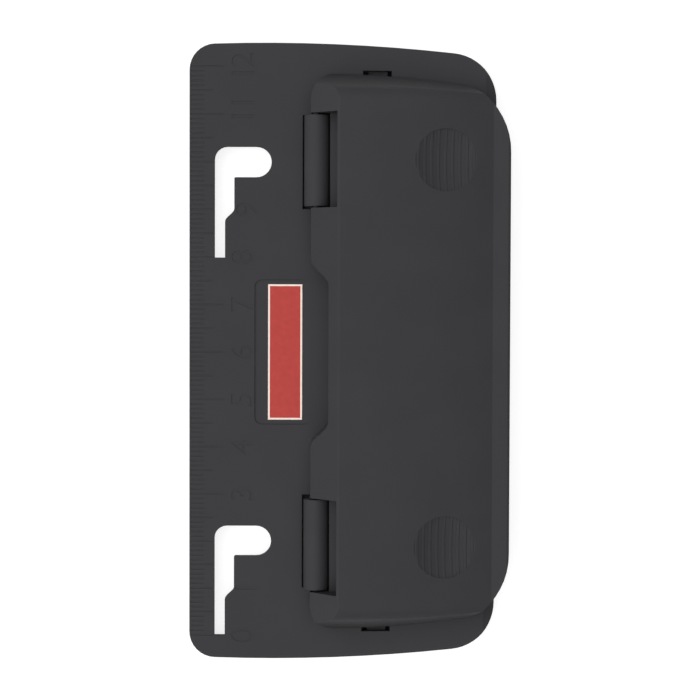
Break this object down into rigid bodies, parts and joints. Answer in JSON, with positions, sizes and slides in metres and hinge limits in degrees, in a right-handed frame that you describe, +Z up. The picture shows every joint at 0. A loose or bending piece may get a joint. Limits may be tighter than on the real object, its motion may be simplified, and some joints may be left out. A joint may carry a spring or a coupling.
{
  "type": "pocket hole punch",
  "caption": "Flat pocket hole punch with a ruler edge and binder slots; a sprung lever pushes two punch pins through paper into a chip drawer",
  "frame": {"origin": "middle of the footprint, on the table plane", "axes": "X along the ruler toward its high numbers, +Y toward the ruler edge, -Y the paper side, Z up"},
  "size_m": [0.13, 0.0672, 0.0176],
  "materials": {
    "black_plastic": "fine satin texture",
    "steel": "zinc-plated strip",
    "blackened_steel": "black oxide",
    "pin_steel": "ground",
    "spring_wire": "drawn wire",
    "red_label": "satin printed film"
  },
  "bodies": {
    "base": {"base_plate": "black_plastic", "label": "red_label", "punch_frame_left": "steel", "punch_frame_right": "steel", "frame_rivets": "steel", "hinge_pin_left": "blackened_steel", "hinge_pin_right": "blackened_steel", "return_spring_left": "spring_wire", "return_spring_right": "spring_wire"},
    "lever": {"lever": "black_plastic"},
    "pin_left": {"punch_pin_left": "pin_steel", "spring_washer_left": "steel", "retaining_ring_left": "steel"},
    "pin_right": {"punch_pin_right": "pin_steel", "spring_washer_right": "steel", "retaining_ring_right": "steel"},
    "drawer": {"chip_drawer": "black_plastic"}
  },
  "joints": [
    {"name": "lever_hinge", "type": "hinge", "parent": "base", "child": "lever", "pos_m": [0, 0.00675, 0.0094], "axis": [1, 0, 0], "range_deg": [0, 4.39], "stiffness_Nm_per_rad": 2.8, "springref_deg": -3.27},
    {"name": "pin_left_slide", "type": "slide", "parent": "base", "child": "pin_left", "axis": [0, 0, -1], "range_m": [0, 0.00205], "deforming": ["return_spring_left"]},
    {"name": "pin_right_slide", "type": "slide", "parent": "base", "child": "pin_right", "axis": [0, 0, -1], "range_m": [0, 0.00205], "deforming": ["return_spring_right"]},
    {"name": "chip_drawer_slide", "type": "slide", "parent": "base", "child": "drawer", "axis": [0, -1, 0], "range_m": [0, 0.018]}
  ],
  "couplings": [
    {"joint": "pin_left_slide", "follows": "lever_hinge", "m_per_rad": 0.02675},
    {"joint": "pin_right_slide", "follows": "lever_hinge", "m_per_rad": 0.02675}
  ]
}
